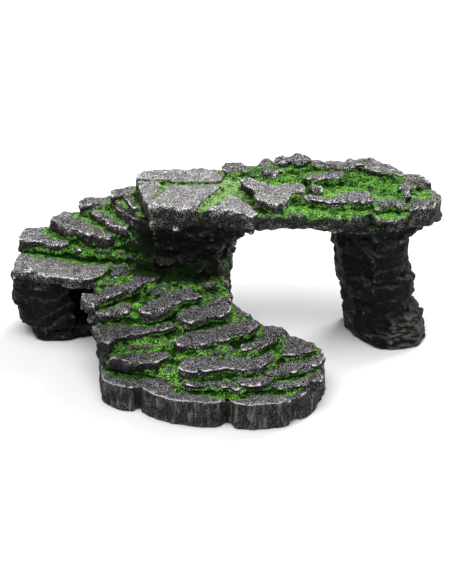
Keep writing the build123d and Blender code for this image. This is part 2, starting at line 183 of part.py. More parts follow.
# Right pillar in rough courses under a spreading head.
masses["pillar_head"] = prism([(51.6, 22.0), (53.0, 12.0), (60.0, 6.6), (72.0, 4.6), (84.0, 6.0), (90.0, 9.6), (94.4, 12.6), (98.0, 16.4), (99.0, 23.0), (97.4, 32.0), (93.0, 41.0), (84.0, 47.0), (71.0, 50.0), (59.0, 47.0), (53.0, 38.0)], 60.4, PLATFORM_UNDER_Z)
masses["pillar_shaft_upper"] = prism([(56.6, 38.0), (55.6, 28.0), (58.0, 17.0), (65.0, 10.0), (74.0, 7.0), (83.0, 7.2), (88.5, 10.0), (91.0, 17.0), (91.4, 26.0), (89.4, 35.0), (84.0, 41.0), (74.0, 44.0), (63.0, 43.0)], 38.4, 49.0) + prism([(54.2, 37.0), (52.8, 28.0), (55.2, 16.6), (63.0, 8.4), (73.0, 5.4), (83.0, 6.2), (88.6, 9.4), (91.0, 17.0), (91.2, 27.0), (89.0, 36.0), (83.0, 42.4), (73.0, 45.4), (60.0, 44.0)], 49.0, 60.4)
masses["pillar_shaft_lower"] = prism([(59.4, 41.0), (59.6, 28.0), (62.4, 18.0), (68.0, 10.6), (76.0, 7.4), (84.0, 6.8), (90.0, 9.4), (93.2, 15.0), (94.0, 24.0), (92.6, 34.0), (87.0, 41.6), (76.0, 45.0), (66.0, 44.6)], 17.4, 27.6) + prism([(57.2, 40.0), (56.6, 28.0), (59.6, 17.2), (66.0, 9.8), (75.0, 6.2), (84.0, 6.2), (91.0, 9.4), (94.4, 16.0), (95.0, 25.0), (93.4, 34.0), (87.0, 42.0), (76.0, 45.6), (64.0, 44.6)], 27.6, 38.4)
masses["pillar_foot"] = prism([(62.0, 44.0), (61.6, 31.0), (65.0, 21.4), (69.6, 13.9), (75.7, 6.7), (84.6, 4.1), (92.9, 6.1), (99.6, 9.7), (102.4, 18.0), (101.8, 30.0), (96.6, 42.0), (84.0, 48.0), (70.0, 48.4)], 0.0, 8.4) + prism([(61.0, 42.4), (61.0, 30.0), (64.0, 20.0), (69.2, 12.6), (75.6, 7.2), (84.0, 5.2), (92.0, 7.2), (98.4, 11.2), (100.4, 19.0), (99.4, 30.0), (94.8, 40.0), (84.0, 46.4), (70.0, 46.6)], 8.4, 17.4)

# --- Fit everything face to face ---------------------------------------------
# Stones are cut in turn by the stones already placed, then the masses are cut
# by the stones and by the masses before them, so no two pieces share volume.
placed = {}


def cut_by_placed(shape):
    box = shape.bounding_box()
    for other in placed.values():
        ob = other.bounding_box()
        if (ob.min.X < box.max.X and ob.max.X > box.min.X and ob.min.Y < box.max.Y
                and ob.max.Y > box.min.Y and ob.min.Z < box.max.Z and ob.max.Z > box.min.Z):
            shape = shape - other
    return whole(shape)


for name, shape in stones.items():
    placed[name] = cut_by_placed(shape)
for name, shape in masses.items():
    placed[name] = cut_by_placed(shape)

# Origin at the middle of the footprint, on the ground.
bb = Compound(children=[Solid(s.wrapped) for s in placed.values()]).bounding_box()
CX = (bb.min.X + bb.max.X) / 2
CY = (bb.min.Y + bb.max.Y) / 2
for name, shape in placed.items():
    export_step(shape.moved(Location((-CX, -CY, 0))), f"parts/{name}.step")
print("pieces", len(placed), "shift", round(CX, 4), round(CY, 4), "size", [round(v, 2) for v in (bb.size.X, bb.size.Y, bb.size.Z)])
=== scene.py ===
import math

import bpy
import numpy as np
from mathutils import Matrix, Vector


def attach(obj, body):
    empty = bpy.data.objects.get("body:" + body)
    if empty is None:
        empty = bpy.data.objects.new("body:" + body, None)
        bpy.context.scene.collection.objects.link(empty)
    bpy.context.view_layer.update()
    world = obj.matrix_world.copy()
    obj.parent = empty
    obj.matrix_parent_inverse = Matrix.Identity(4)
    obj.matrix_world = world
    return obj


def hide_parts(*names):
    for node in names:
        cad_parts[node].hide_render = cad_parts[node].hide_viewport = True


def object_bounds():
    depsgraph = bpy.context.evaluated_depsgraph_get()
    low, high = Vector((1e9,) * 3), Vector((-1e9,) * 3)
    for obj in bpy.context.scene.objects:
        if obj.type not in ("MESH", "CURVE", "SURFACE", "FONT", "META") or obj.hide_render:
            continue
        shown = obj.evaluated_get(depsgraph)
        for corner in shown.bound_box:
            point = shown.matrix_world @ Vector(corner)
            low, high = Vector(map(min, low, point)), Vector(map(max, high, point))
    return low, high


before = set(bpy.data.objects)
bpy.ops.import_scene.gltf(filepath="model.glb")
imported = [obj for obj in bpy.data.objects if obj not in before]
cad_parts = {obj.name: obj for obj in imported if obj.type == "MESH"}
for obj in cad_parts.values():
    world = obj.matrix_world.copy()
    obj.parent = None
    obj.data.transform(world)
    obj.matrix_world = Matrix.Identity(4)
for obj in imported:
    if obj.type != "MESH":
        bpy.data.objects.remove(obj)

import openvdb as vdb
from mathutils import Vector

cad_lo, cad_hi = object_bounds()

# ---------------------------------------------------------------------------
# Everything below works in millimetres on one voxel lattice shared by all the
# pieces. Each CAD node becomes a signed distance field, is weathered there,
# and is meshed again as the rough stone it stands for.
# ---------------------------------------------------------------------------
H = 0.5
BAND = 8.0
PAD = 11
LO = np.array([v * 1000.0 for v in cad_lo]) - 6.0
HI = np.array([v * 1000.0 for v in cad_hi]) + 6.0
I0 = np.floor(LO / H).astype(int)
DIM = np.ceil(HI / H).astype(int) - I0 + 1
XF = vdb.createLinearTransform(voxelSize=H)


def axis_weights(n, first, cell):
    """Cubic B-spline weights from a coarse random lattice to the voxels."""
    pos = (np.arange(n) + first) * H / cell
    base = np.floor(pos).astype(int)
    t = (pos - base).astype(np.float32)
    lo = base.min()
    w = np.zeros((n, base.max() - lo + 4), np.float32)
    rows = np.arange(n)
    k = base - lo
    w[rows, k] += (1 - t) ** 3 / 6
    w[rows, k + 1] += (3 * t**3 - 6 * t**2 + 4) / 6
    w[rows, k + 2] += (-3 * t**3 + 3 * t**2 + 3 * t + 1) / 6
    w[rows, k + 3] += t**3 / 6
    return w


def noise(cell, seed):
    """Smooth random field over the whole lattice, mean 0, deviation 1."""
    cx, cy, cz = cell if isinstance(cell, tuple) else (cell, cell, cell)
    wx = axis_weights(DIM[0], I0[0], cx)
    wy = axis_weights(DIM[1], I0[1], cy)
    wz = axis_weights(DIM[2], I0[2], cz)
    rng = np.random.RandomState(seed)
    r = rng.uniform(-1, 1, (wx.shape[1], wy.shape[1], wz.shape[1])).astype(np.float32)
    r = np.tensordot(wx, r, (1, 0))
    r = np.tensordot(wy, r, (1, 1)).transpose(1, 0, 2)
    r = np.tensordot(r, wz, (2, 1))
    r /= r.std()
    return np.ascontiguousarray(r, dtype=np.float32)


def blur(a, sigma):
    """Separable Gaussian, sigma in voxels, edges held."""
    if sigma < 0.3:
        return a
    r = int(math.ceil(sigma * 2.6))
    k = np.exp(-0.5 * (np.arange(-r, r + 1) / sigma) ** 2)
    k = (k / k.sum()).astype(np.float32)
    for ax in range(3):
        pad = [(0, 0)] * 3
        pad[ax] = (r, r)
        p = np.pad(a, pad, mode="edge")
        out = np.zeros_like(a)
        n = a.shape[ax]
        for i, w in enumerate(k):
            sl = [slice(None)] * 3
            sl[ax] = slice(i, i + n)
            out += w * p[tuple(sl)]
        a = out
    return a


# Where the layout's own origin sits in the frame.
CX, CY = -1.2, -3.1


def smooth(x, a, b):
    t = np.clip((x - a) / (b - a), 0, 1)
    return t * t * (3 - 2 * t)


# --- What each node is -------------------------------------------------------
PIERS = {"left_pier_foot", "left_pier", "stair_base", "central_pier", "central_pier_head",
         "pillar_head", "pillar_shaft_upper", "pillar_shaft_lower", "pillar_foot"}
BEDS = {"ramp_bed", "stair_bed", "deck_bed", "platform_basin", "platform_ledge_front"}
STRATA = {"platform_layer_lower"}
names = sorted(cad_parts)


def kind_of(n):
    if n in PIERS:
        return "pier"
    if n in BEDS:
        return "bed"
    if n in STRATA:
        return "strata"
    if n.startswith("foot_block"):
        return "foot"
    if n.startswith("rim_"):
        return "rim"
    return "stone"


# --- Distance field of each CAD node -----------------------------------------
raw = {}
FAR = BAND * H
G0 = np.full(tuple(DIM), FAR, np.float32)     # nearest of all nodes
S1 = np.full(tuple(DIM), FAR, np.float32)     # nearest stone
S2 = np.full(tuple(DIM), FAR, np.float32)     # second nearest stone
P0 = np.full(tuple(DIM), FAR, np.float32)     # nearest pier course
for n in names:
    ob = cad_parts[n]
    me = ob.data
    me.calc_loop_triangles()
    co = np.empty(len(me.vertices) * 3, np.float32)
    me.vertices.foreach_get("co", co)
    co = co.reshape(-1, 3) * 1000.0
    tri = np.empty(len(me.loop_triangles) * 3, np.int32)
    me.loop_triangles.foreach_get("vertices", tri)
    tri = tri.reshape(-1, 3).astype(np.uint32)
    grid = vdb.FloatGrid.createLevelSetFromPolygons(
        np.ascontiguousarray(co), triangles=np.ascontiguousarray(tri), transform=XF, halfWidth=BAND)
    a = np.maximum(np.floor(co.min(0) / H).astype(int) - PAD, I0)
    b = np.minimum(np.ceil(co.max(0) / H).astype(int) + PAD, I0 + DIM - 1)
    arr = np.empty(tuple(b - a + 1), np.float32)
    grid.copyToArray(arr, ijk=tuple(int(v) for v in a))
    sl = tuple(slice(int(a[i] - I0[i]), int(b[i] - I0[i] + 1)) for i in range(3))
    raw[n] = (a, sl, arr)
    G0[sl] = np.minimum(G0[sl], arr)
    if kind_of(n) in ("stone", "rim", "foot"):
        S2[sl] = np.minimum(S2[sl], np.maximum(S1[sl], arr))
        S1[sl] = np.minimum(S1[sl], arr)
    if kind_of(n) == "pier":
        P0[sl] = np.minimum(P0[sl], arr)

# --- The union with its hollow corners filled, where moss gathers -------------
FILL_R = 2.0
union = vdb.FloatGrid(BAND * H)
union.transform = XF
union.copyFromArray(np.ascontiguousarray(G0), ijk=tuple(int(v) for v in I0))
pts, quads = union.convertToQuads(FILL_R)
grown = vdb.FloatGrid.createLevelSetFromPolygons(
    np.ascontiguousarray(pts, dtype=np.float32), quads=np.ascontiguousarray(quads, dtype=np.uint32),
    transform=XF, halfWidth=BAND)
FILLED = np.empty(tuple(DIM), np.float32)
grown.copyToArray(FILLED, ijk=tuple(int(v) for v in I0))
FILLED += FILL_R
FILLED = np.minimum(FILLED, G0)
del union, grown

# --- Random fields shared by all pieces --------------------------------------
N14 = noise(14.0, 11)
N7 = noise(7.0, 12)
N35 = noise(3.5, 13)
N2 = noise(2.0, 14)
N1 = noise(1.3, 15)
NV = noise((2.6, 2.6, 18.0), 16)      # upright flutes of the foot blocks
NH = noise((10.0, 10.0, 3.0), 17)     # level layers of the piers
NC = noise((8.0, 8.0, 6.5), 18)       # crags

Zc = ((np.arange(DIM[2]) + I0[2]) * H).astype(np.float32)


def crease(n):
    """Ridged version of a noise: sharp crests, rounded hollows."""
    return np.abs(n) - 0.75


# --- The piers weather as one mass of rock ------------------------------------
# Rough ledges: each swells outwards as it rises and breaks back at its top.
phase = (Zc[None, None, :] + 4.2 * N14 + 2.0 * N7 + 0.5 * N35) / 9.5
saw = phase - np.floor(phase)
ledge = smooth(saw, 0.0, 0.78) - smooth(saw, 0.82, 1.0)
P = blur(P0, 1.0 / H)
flank = np.clip(1.0 - np.abs(np.gradient(P, H, axis=2)), 0, 1)
P = P + flank * (0.45 - 0.95 * ledge) + 0.85 * crease(NC) + 0.60 * crease(N7) + 0.40 * N14
P = P + 0.50 * crease(N35) + 0.22 * N35 + 0.28 * crease(N2) + 0.16 * N1
# Hollows stay shallower than the crags stand out.
base = blur(P0, 1.0 / H)
dent = P - base
dent = np.where(dent > 0.5, 0.5 + 0.30 * (dent - 0.5), dent)
# Close to the ground the rock stands upright, without thin flaps.
ground = smooth(Zc, 0.5, 4.5)[None, None, :]
P = base + dent * (0.25 + 0.75 * ground)
# The left side of the arch is undercut below the corbel.
Xc = ((np.arange(DIM[0]) + I0[0]) * H).astype(np.float32)
jamb = smooth(np.gradient(blur(P0, 2.0 / H), H, axis=0), 0.3, 0.8) * (1.0 - smooth(Xc - CX, 14.0, 20.0))[:, None, None]
jamb = jamb * np.exp(-(((Zc - 42.0) / 10.0) ** 2))[None, None, :]
P = (P + 1.5 * jamb).astype(np.float32)
del phase, saw, ledge, flank, base, dent, jamb, ground

final = {}
G = np.full(tuple(DIM), FAR, np.float32)
for n in names:
    a, sl, s0 = raw[n]
    kind = kind_of(n)
    n14, n7, n35, n2, n1 = N14[sl], N7[sl], N35[sl], N2[sl], N1[sl]
    nh, nv, nc = NH[sl], NV[sl], NC[sl]
    zz = Zc[sl[2]][None, None, :]
    reach = 1.6
    under = 1.1
    # Distance to the nearest other stone.
    other = np.where(s0 <= S1[sl] + 1e-4, S2[sl], S1[sl])
    if kind in ("stone", "rim"):
        s = blur(s0, 0.30 / H)
        flank = np.clip(1.0 - np.abs(np.gradient(s0, H, axis=2)), 0, 1)
        soft = blur(s0, 1.3 / H)
        corner = smooth(soft - s0, 0.06, 0.5)
        d = 0.10 * n14 + 0.10 * n7 + 0.10 * n35 + 0.10 * crease(n2) + 0.09 * n1
        d = d + flank * (0.22 * n7 + 0.22 * crease(n35) + 0.24 * nh + 0.14 * n2)
        if kind == "rim":
            d = d + 0.30 * n7 + 0.36 * crease(n35) + 0.55 * crease(nc) + 0.18 * n2
        # Corners are chipped, the flats are not.
        d = d + corner * (0.42 * np.maximum(n35, 0) + 0.34 * np.maximum(n2, 0) + 0.05)
        # A shallow groove where two stones touch.
        d = d + 0.45 * (1.0 - smooth(other, 0.2, 1.3)) * (0.4 if kind == "rim" else 1.0)
        s = s - 0.50 + d
    elif kind == "bed":
        s = blur(s0, 0.9 / H)
        if n in ("platform_basin", "platform_ledge_front", "deck_bed"):
            s = s - 0.05 + 0.14 * n14 + 0.18 * n7 + 0.16 * crease(n35) + 0.22 * n2 + 0.22 * n1
        else:
            s = s - 0.05 + 0.18 * n14 + 0.26 * n7 + 0.34 * crease(n35) + 0.26 * n2 + 0.20 * n1
        # Moss packed into the corners between the stones.
        pack = FILLED[sl] + 0.50 + 0.22 * n7 + 0.16 * n35 + 0.20 * n2 + 0.16 * n1
        pack = pack + 4.0 * (1.0 - smooth(zz, 12.2, 14.0))
        s = np.minimum(s, np.maximum(pack, s0 - 4.5))
        reach = 2.2
    elif kind == "foot":
        s = blur(s0, 0.5 / H)
        flank = np.clip(1.0 - np.abs(np.gradient(s0, H, axis=2)), 0, 1)
        soft = blur(s0, 1.3 / H)
        corner = smooth(soft - s0, 0.06, 0.5)
        s = s + 0.12 * n7 + 0.16 * crease(n35) + 0.16 * n2 + 0.12 * n1
        s = s + flank * (0.34 * crease(nv) + 0.26 * n14 + 0.34 * n7)
        s = s + corner * (0.5 * np.maximum(n35, 0) + 0.4 * np.maximum(n2, 0))
        # A shallow valley runs down between one block and the next.
        valley = FILLED[sl] + 1.5 * (1.0 - smooth(other, 0.0, 4.5)) + 0.16 * n35 + 0.12 * n2
        valley = valley + flank * (0.34 * crease(nv) + 0.26 * n14 + 0.34 * n7)
        s = np.maximum(np.minimum(s, s0 - 0.25), valley)
        reach = 2.2
        under = 1.5
    elif kind == "strata":
        s = blur(s0, 0.5 / H)
        s = s - 0.15 + 0.40 * nh + 0.40 * crease(n7) + 0.42 * crease(n35) + 0.2 * n35 + 0.22 * n2 + 0.14 * n1
        reach = 2.2
    else:
        s = np.maximum(P[sl] + 0.12 * smooth(s0, 0.0, 0.5), s0 - 1.2)
        reach = 2.4
        under = 1.6
    # Backing that reaches a little way into the neighbours, so no joint gapes.
    near = FILLED[sl] if kind == "foot" else G0[sl]
    back = np.maximum(near + under, s0 - reach)
    s = np.minimum(s, back)
    # Flat where the ornament stands on the ground.
    s = np.maximum(s, 0.02 - zz)
    s = np.clip(s, -FAR, FAR).astype(np.float32)
    s[0], s[-1] = FAR, FAR
    s[:, 0], s[:, -1] = FAR, FAR
    s[:, :, 0], s[:, :, -1] = FAR, FAR
    final[n] = s
    G[sl] = np.minimum(G[sl], s)
del P

# --- How hollow or how sharp each place is -----------------------------------
OCC = np.clip(0.5 - G / H, 0, 1).astype(np.float32)
B1 = blur(OCC, 0.75 / H)
OCC2 = OCC[::2, ::2, ::2]
B3 = blur(OCC2, 3.0 / (2 * H))
B7 = blur(OCC2, 7.5 / (2 * H))


def sample(field, pts, step=1):
    """Trilinear value of a lattice field at points in millimetres."""
    q = (pts / H - I0) / step
    q = np.clip(q, 0, np.array(field.shape) - 1.001)
    i = q.astype(int)
    f = (q - i).astype(np.float32)
    x, y, z = i[:, 0], i[:, 1], i[:, 2]
    fx, fy, fz = f[:, 0], f[:, 1], f[:, 2]
    out = 0
    for dx in (0, 1):
        wx = fx if dx else 1 - fx
        for dy in (0, 1):
            wy = fy if dy else 1 - fy
            for dz in (0, 1):
                wz = fz if dz else 1 - fz
                out = out + wx * wy * wz * field[x + dx, y + dy, z + dz]
    return out


# How pale each stone is painted: partly how heavily the grey was brushed, partly painted light, as the lit deck tops
# are set paler and the ramp stones darker.
BRUSH_AND_LIGHT = {"landing_slab": 1.25, "deck_slab_rear": 1.5, "deck_slab_front": 1.5, "deck_slab_left": 1.35,
        "deck_slab_point": 1.45, "platform_slab_left": 1.30, "stair_slab_1": 1.15, "rim_slab_rear_right": 1.15,
        "stair_slab_2": 1.05, "platform_ledge_long": 1.0, "ramp_stone_2_left": 0.85, "foot_block_left": 0.85,
        "rim_stone_right": 0.7, "stair_slab_3": 0.78, "stair_slab_4": 0.9, "rim_peak": 0.85, "ramp_stone_6_left": 0.6, "stair_stone_low": 0.65,
        "ramp_stone_7_left": 0.60, "foot_block_right": 0.7}


def brush_and_light_of(n):
    if n in BRUSH_AND_LIGHT:
        return BRUSH_AND_LIGHT[n]
    if n.startswith("ramp_stone"):
        return 0.55
    return 0.95


def mesh_piece(n):
    a, sl, _ = raw[n]
    s = final[n]
    grid = vdb.FloatGrid(BAND * H)
    grid.transform = XF
    grid.copyFromArray(np.ascontiguousarray(s), ijk=tuple(int(v) for v in a))
    pts, quads = grid.convertToQuads(0.0)
    pts = pts.astype(np.float64)
    v0, v1, v2, v3 = (pts[quads[:, i]] for i in range(4))
    vol = np.einsum("ij,ij->i", v0, np.cross(v1, v2)).sum() + np.einsum("ij,ij->i", v0, np.cross(v2, v3)).sum()
    if vol < 0:
        quads = quads[:, ::-1]
    me = bpy.data.meshes.new("stone_" + n)
    me.vertices.add(len(pts))
    me.vertices.foreach_set("co", (pts / 1000.0).astype(np.float32).ravel())
    me.loops.add(len(quads) * 4)
    me.loops.foreach_set("vertex_index", np.ascontiguousarray(quads).astype(np.int32).ravel())
    me.polygons.add(len(quads))
    me.polygons.foreach_set("loop_start", np.arange(0, len(quads) * 4, 4, dtype=np.int32))
    me.polygons.foreach_set("loop_total", np.full(len(quads), 4, np.int32))
    me.update(calc_edges=True)
    me.validate()
    me.polygons.foreach_set("use_smooth", np.ones(len(me.polygons), bool))
    nrm = np.empty(len(me.vertices) * 3, np.float32)
    me.vertices.foreach_get("normal", nrm)
    nrm = nrm.reshape(-1, 3)
    co = np.empty(len(me.vertices) * 3, np.float32)
    me.vertices.foreach_get("co", co)
    co = co.reshape(-1, 3) * 1000.0
    kind = kind_of(n)
    z = co[:, 2]
    face = nrm[:, 2]
    b1 = sample(B1, co + nrm * 0.25)
    b3 = sample(B3, co + nrm * 0.8, 2)
    b7 = sample(B7, co + nrm * 2.0, 2)
    big = sample(N7, co)
    mid = sample(N35, co)
    edge = smooth(0.365 - b1, 0.03, 0.16)
    lip = smooth(0.395 - b3, 0.06, 0.22)
    cav = smooth(b3, 0.41, 0.60)
    shade = smooth(b7, 0.42, 0.72)
    up = smooth(nrm[:, 2], 0.05, 0.75)
    pale = np.zeros(len(co))
    # Wide recesses, where the green spray settled softly.
    wide = smooth(b7, 0.40, 0.62)
    # Painted shade: the inner corner of the stairs and the wall behind it, under the deck, are darkened almost to
    # black.
    painted_blackish_shade = np.hypot((co[:, 0] - CX + 33.0) / 15.0, (co[:, 1] - CY - 30.0) / 10.0)
    wall = np.hypot((co[:, 0] - CX + 14.0) / 14.0, (co[:, 1] - CY - 28.0) / 9.0)
    painted_blackish_shade = (1.0 - smooth(np.minimum(painted_blackish_shade, wall) + 0.10 * big, 0.55, 1.25)) * (1.0 - smooth(z, 62.0, 66.0))
    if n.startswith("ramp_"):
        # Painted shade: the low left flank of the ramp is darkened as well.
        low = (1.0 - smooth(co[:, 0] + 1.5 * big, -50.0, -30.0)) * (1.0 - smooth(z, 24.0, 31.0)) * (1.0 - smooth(co[:, 1], -14.0, -4.0))
        painted_blackish_shade = np.maximum(painted_blackish_shade, 0.42 * low)
    if kind == "bed":
        if n in ("platform_basin", "deck_bed", "platform_ledge_front"):
            moss = 0.86 + 0.12 * big - 0.30 * np.maximum(mid - 1.0, 0) - 0.35 * edge
            if n != "deck_bed":
                # The outer rim of the basin is rubbed bare and pale.
                moss = moss - 0.9 * lip * smooth(mid + 0.5 * big, -1.2, 0.8)
            moss = moss * smooth(face + 0.10 * big, 0.10, 0.60)
        else:
            # Bare rock shows on the flats; moss has gathered in the hollows.
            moss = smooth(1.2 * cav + 2.4 * (b3 - 0.28) + 0.9 * wide + 0.16 * big + 0.10 * mid - 0.4 * edge, 0.0, 0.46)
            moss = moss * smooth(face, -0.45, 0.20)
        moss = moss * smooth(z, 10.0, 15.0)
        if n == "deck_bed":
            moss = moss * smooth(z, 70.0, 72.6)
        if n == "ramp_bed":
            # The open left flank and the right edge of the ramp are mostly dark rock.
            side = smooth(0.55 - face + 0.12 * big, 0.0, 0.35)
            moss = moss * (1.0 - 0.65 * side)
    elif kind in ("stone", "rim"):
        moss = smooth(1.25 * cav + 0.8 * (b3 - 0.395) + 0.80 * wide + 0.12 * big + 0.08 * mid - 0.55 * lip, 0.10, 0.52)
        if n.startswith("stair_"):
            # The spray ran wider on the stairs.
            more = smooth(1.25 * cav + 0.8 * (b3 - 0.395) + 1.15 * wide + 0.12 * big + 0.08 * mid - 0.45 * lip, 0.02, 0.36)
            moss = np.maximum(moss, more)
        moss = moss * smooth(face, -0.7, 0.0) * smooth(z, 11.0, 14.5) * smooth(cav + wide, 0.04, 0.22)
        if kind == "rim" or n.startswith(("platform_", "basin_")):
            moss = np.maximum(moss, smooth(80.0 + 0.9 * big + 0.5 * mid - z, 0.0, 2.2) * smooth(b7, 0.30, 0.45) * smooth(face, -0.6, 0.0))
        if n in ("rim_stone_right", "rim_stone_front_right"):
            moss = np.maximum(moss, smooth(0.5 * big + 0.3 * mid + (90.0 - co[:, 0]) / 12.0, 0.0, 1.0) * smooth(face, 0.3, 0.8) * 0.7)
    elif kind == "foot":
        moss = smooth(1.2 * cav + 0.20 * big + 0.1 * mid - 0.4 * lip, 0.22, 0.70) * smooth(z, 9.0, 12.5) * smooth(face, 0.1, 0.6)
    elif kind == "strata":
        moss = 0.30 * smooth(big, 0.4, 1.4) * smooth(face, 0.1, 0.6) * smooth(z, 66.0, 69.0)
    else:
        moss = np.zeros(len(co))
    if n == "pillar_foot":
        pale = 0.40 * smooth(-nrm[:, 1], 0.0, 0.6) * smooth(mid + big, -0.5, 1.0)
    if n.startswith("central_pier"):
        pale = smooth(nrm[:, 0] + 0.12 * mid + 0.10 * big, 0.20, 0.85) * smooth(z + 4.0 * big, 24.0, 42.0)
    if n == "stair_bed":
        # The inner wall of the stairs is left without moss so that it shows dark: painted shade under the deck.
        inner = smooth(co[:, 0], -52.0, -40.0)
        moss = moss * (1 - inner * (1 - smooth(face, 0.5, 0.8))) * smooth(face, -0.1, 0.45)
    # Less moss shows where that painted shade is strongest.
    if kind in ("stone", "bed"):
        moss = moss * (1.0 - 0.75 * painted_blackish_shade)
    else:
        painted_blackish_shade = 0 * painted_blackish_shade
    if n == "stair_slab_2":
        # The inner end of this tread is overgrown.
        moss = np.maximum(moss, smooth(co[:, 0] - CX + 0.9 * big, -56.5, -52.5) * smooth(face, -0.2, 0.4))
    if n.startswith("stair_") and kind in ("stone", "bed"):
        # Painted light: higher up the stairs the painted shade is weakened and the moss spreads further, so the upper
        # treads read lighter.
        high = smooth(z, 38.0, 52.0)
        cav = cav * (1.0 - 0.35 * high)
        shade = shade * (1.0 - 0.45 * high)
        moss = moss + (0.32 + 0.12 * big) * smooth(moss, 0.01, 0.22) * high
    if n in ("stair_bed", "deck_bed", "ramp_bed"):
        # The side of the arch is bare.
        moss = moss * (1.0 - smooth(co[:, 0] - CX, -9.0, -5.0) * smooth(z, 38.0, 40.0) * (1.0 - smooth(z, 70.0, 72.0)))
    if n == "stair_bed":
        moss = moss * (1.0 - (1.0 - smooth(z, 36.0, 38.0)) * (1.0 - smooth(co[:, 0] - CX, -66.0, -60.0)))
    if n.startswith("ramp_"):
        bare = smooth(-nrm[:, 0], 0.0, 0.4) * (1.0 - smooth(face, 0.5, 0.8)) * (1.0 - smooth(co[:, 0] - CX, -50.0, -42.0))
        moss = moss * (1.0 - 0.92 * bare)
    # The steep rear faces were left unsprayed.
    rear = smooth(nrm[:, 1], 0.15, 0.5) * (1.0 - smooth(face, 0.25, 0.6))
    if n == "stair_bed":
        rear = np.maximum(rear, smooth(nrm[:, 1], -0.1, 0.3) * (1.0 - smooth(face, 0.5, 0.85)))
    left = smooth(-nrm[:, 0], 0.3, 0.7) * (1.0 - smooth(face, 0.25, 0.6)) * smooth(co[:, 1] - CY, 26.0, 34.0)
    moss = moss * (1.0 - 0.95 * np.maximum(rear, left))
    moss = np.clip(moss, 0, 1)
    brush_and_light = np.full(len(co), brush_and_light_of(n))
    lime_spray_and_light = np.full(len(co), {"deck_bed": 0.9, "deck_slab_rear": 0.9, "platform_slab_left": 0.5}.get(n, 0.0))
    # Painted light: lighter, yellower moss higher up the stairs.
    if n.startswith("stair_") and kind in ("stone", "bed"):
        lime_spray_and_light = 0.55 * smooth(z + 2.0 * big, 42.0, 56.0)
    for key, val in (("moss", moss), ("edge", edge), ("lip", lip), ("cav", cav), ("shade", shade),
                     ("up", up), ("brush_and_light", brush_and_light), ("pale", pale), ("lime_spray_and_light", lime_spray_and_light),
                     ("wide", wide), ("painted_blackish_shade", painted_blackish_shade)):
        at = me.attributes.new(key, "FLOAT", "POINT")
        at.data.foreach_set("value", np.ascontiguousarray(val, dtype=np.float32))
    ob = bpy.data.objects.new("stone_" + n, me)
    bpy.context.scene.collection.objects.link(ob)
    return ob


# --- Materials ---------------------------------------------------------------
class Nodes:
    """Small helper for wiring shader nodes."""

    def __init__(self, name):
        self.mat = bpy.data.materials.new(name)
        self.mat.use_nodes = True
        self.nt = self.mat.node_tree
        self.nt.nodes.clear()
        self.out = self.nt.nodes.new("ShaderNodeOutputMaterial")
        self.bsdf = self.nt.nodes.new("ShaderNodeBsdfPrincipled")
        self.nt.links.new(self.bsdf.outputs[0], self.out.inputs[0])
        self.coord = self.nt.nodes.new("ShaderNodeTexCoord").outputs["Object"]

    def put(self, sock, val):
        if isinstance(val, bpy.types.NodeSocket):
            self.nt.links.new(val, sock)
        else:
            sock.default_value = val

    def attr(self, name):
        nd = self.nt.nodes.new("ShaderNodeAttribute")
        nd.attribute_name = name
        return nd.outputs["Fac"]

    def noise(self, mm, detail=2.0, rough=0.5, stretch=None, offset=0.0):
        vec = self.coord
        if stretch or offset:
            mp = self.nt.nodes.new("ShaderNodeMapping")
            self.nt.links.new(vec, mp.inputs["Vector"])
            if stretch:
                mp.inputs["Scale"].default_value = stretch
            mp.inputs["Location"].default_value = (offset, offset * 0.7, offset * 0.3)
            vec = mp.outputs[0]
        nd = self.nt.nodes.new("ShaderNodeTexNoise")
        self.nt.links.new(vec, nd.inputs["Vector"])
        nd.inputs["Scale"].default_value = 1000.0 / mm
        nd.inputs["Detail"].default_value = detail
        nd.inputs["Roughness"].default_value = rough
        return nd.outputs["Fac"]

    def voronoi(self, mm, feature="F1"):
        nd = self.nt.nodes.new("ShaderNodeTexVoronoi")
        nd.feature = feature
        self.nt.links.new(self.coord, nd.inputs["Vector"])
        nd.inputs["Scale"].default_value = 1000.0 / mm
        return nd.outputs["Distance"]

    def math(self, op, a, b=0.0, c=0.0, clamp=False):
        nd = self.nt.nodes.new("ShaderNodeMath")
        nd.operation = op
        nd.use_clamp = clamp
        self.put(nd.inputs[0], a)
        self.put(nd.inputs[1], b)
        self.put(nd.inputs[2], c)
        return nd.outputs[0]

    def ramp(self, fac, lo, hi, out_lo=0.0, out_hi=1.0):
        nd = self.nt.nodes.new("ShaderNodeMapRange")
        nd.interpolation_type = "SMOOTHSTEP"
        self.put(nd.inputs["Value"], fac)
        nd.inputs["From Min"].default_value = lo
        nd.inputs["From Max"].default_value = hi
        nd.inputs["To Min"].default_value = out_lo
        nd.inputs["To Max"].default_value = out_hi
        return nd.outputs[0]

    def mix(self, fac, a, b, mode="MIX"):
        nd = self.nt.nodes.new("ShaderNodeMix")
        nd.data_type = "RGBA"
        nd.blend_type = mode
        self.put(nd.inputs[0], fac)
        self.put(nd.inputs[6], a)
        self.put(nd.inputs[7], b)
        return nd.outputs[2]

    def bump(self, height, mm, strength=1.0, normal=None):
        nd = self.nt.nodes.new("ShaderNodeBump")
        nd.inputs["Distance"].default_value = mm / 1000.0
        nd.inputs["Strength"].default_value = strength
        self.put(nd.inputs["Height"], height)
        if normal is not None:
            self.put(nd.inputs["Normal"], normal)
        return nd.outputs[0]


def srgb(r, g, b, k=1.0):
    def f(c):
        c /= 255.0
        return k * (c / 12.92 if c <= 0.04045 else ((c + 0.055) / 1.055) ** 2.4)
    return (f(r), f(g), f(b), 1.0)


